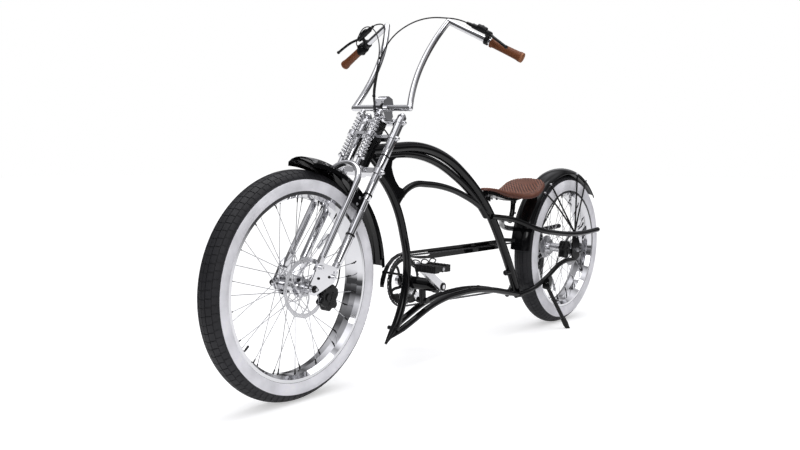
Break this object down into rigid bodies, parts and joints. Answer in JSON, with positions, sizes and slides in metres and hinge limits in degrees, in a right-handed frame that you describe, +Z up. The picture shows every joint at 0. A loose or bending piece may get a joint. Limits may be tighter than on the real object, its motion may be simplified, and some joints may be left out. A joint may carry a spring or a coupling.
{
  "type": "stretch cruiser bicycle",
  "caption": "Long, low cruiser bicycle with curved tube frame, sprung chopper fork, high handlebar, wide whitewall tyres, fenders and a leather saddle, leaning on its side stand.",
  "frame": {"origin": "centre of the bounding box's underside, on the floor", "axes": "+X forward along the bicycle, +Y to the rider's left, +Z up"},
  "size_m": [2.5913, 0.864, 1.3315],
  "materials": {
    "bare_steel": "satin",
    "black_plastic": "satin",
    "brown_grip": "matt",
    "brown_leather": "satin",
    "chain_steel": "dark satin",
    "chrome": "polished",
    "gloss_black": "gloss",
    "silver_alloy": "satin",
    "tyre": "matt",
    "whitewall": "matt"
  },
  "bodies": {
    "frame": {"frame_head_tube": "gloss_black", "frame_top_arch": "gloss_black", "frame_front_arch": "gloss_black", "frame_gusset": "gloss_black", "frame_middle_arch": "gloss_black", "frame_lower_tubes": "gloss_black", "frame_crank_shell": "gloss_black", "frame_tail_tubes": "gloss_black", "frame_chain_stays": "gloss_black", "frame_dropouts": "gloss_black", "rear_axle": "bare_steel", "rear_fender": "gloss_black", "rear_fender_stays": "gloss_black", "saddle": "brown_leather", "saddle_pan": "gloss_black", "seat_strut": "gloss_black", "chain": "chain_steel", "chain_guard": "gloss_black", "gear_changer": "black_plastic", "jockey_wheel": "black_plastic", "rear_brake_caliper": "black_plastic", "side_stand_mount": "gloss_black"},
    "steering": {"fork_lower_crown": "chrome", "fork_upper_crown": "chrome", "fork_top_clamp": "chrome", "fork_rear_legs": "chrome", "fork_front_legs": "chrome", "fork_springs": "chrome", "fork_rockers": "chrome", "front_axle": "bare_steel", "stem": "chrome", "handlebar": "chrome", "grips": "brown_grip", "brake_levers": "black_plastic", "front_fender": "gloss_black", "fender_brackets": "gloss_black", "front_fender_stays": "gloss_black", "front_brake_caliper": "black_plastic"},
    "front_wheel": {"front_tyre": "tyre", "front_whitewalls": "whitewall", "front_rim": "chrome", "front_spokes": "bare_steel", "front_hub": "chrome", "front_brake_disc": "bare_steel"},
    "rear_wheel": {"rear_tyre": "tyre", "rear_whitewalls": "whitewall", "rear_rim": "chrome", "rear_spokes": "bare_steel", "rear_hub": "chrome", "rear_brake_disc": "bare_steel", "rear_sprockets": "chain_steel"},
    "crank": {"crankset": "silver_alloy", "pedal_pins": "bare_steel", "chainring": "gloss_black"},
    "left_pedal": {"pedal_left": "black_plastic"},
    "right_pedal": {"pedal_right": "black_plastic"},
    "side_stand": {"side_stand_leg": "gloss_black"}
  },
  "joints": [
    {"name": "steering", "type": "hinge", "parent": "frame", "child": "steering", "pos_m": [0.85146, -0.02689, 0.34847], "axis": [-0.5519, 0.0266, 0.8335], "range_deg": [-35, 35]},
    {"name": "front_wheel_spin", "type": "hinge", "parent": "steering", "child": "front_wheel", "pos_m": [0.909, -0.02568, 0.38653], "axis": [0, 0.9995, -0.0319], "continuous": true},
    {"name": "rear_wheel_spin", "type": "hinge", "parent": "frame", "child": "rear_wheel", "pos_m": [-0.9303, -0.02636, 0.36524], "axis": [0, 0.9995, -0.0319], "continuous": true},
    {"name": "crank_spin", "type": "hinge", "parent": "frame", "child": "crank", "pos_m": [0.1897, -0.02806, 0.31187], "axis": [0, 0.9995, -0.0319], "continuous": true},
    {"name": "left_pedal_spin", "type": "hinge", "parent": "crank", "child": "left_pedal", "pos_m": [0.33647, 0.12491, 0.40234], "axis": [0, 0.9995, -0.0319], "continuous": true},
    {"name": "right_pedal_spin", "type": "hinge", "parent": "crank", "child": "right_pedal", "pos_m": [0.04293, -0.20102, 0.22203], "axis": [0, 0.9995, -0.0319], "continuous": true},
    {"name": "side_stand", "type": "hinge", "parent": "frame", "child": "side_stand", "pos_m": [-0.6683, 0.06076, 0.21098], "axis": [0, 0.9995, -0.0319], "range_deg": [0, 58]}
  ]
}
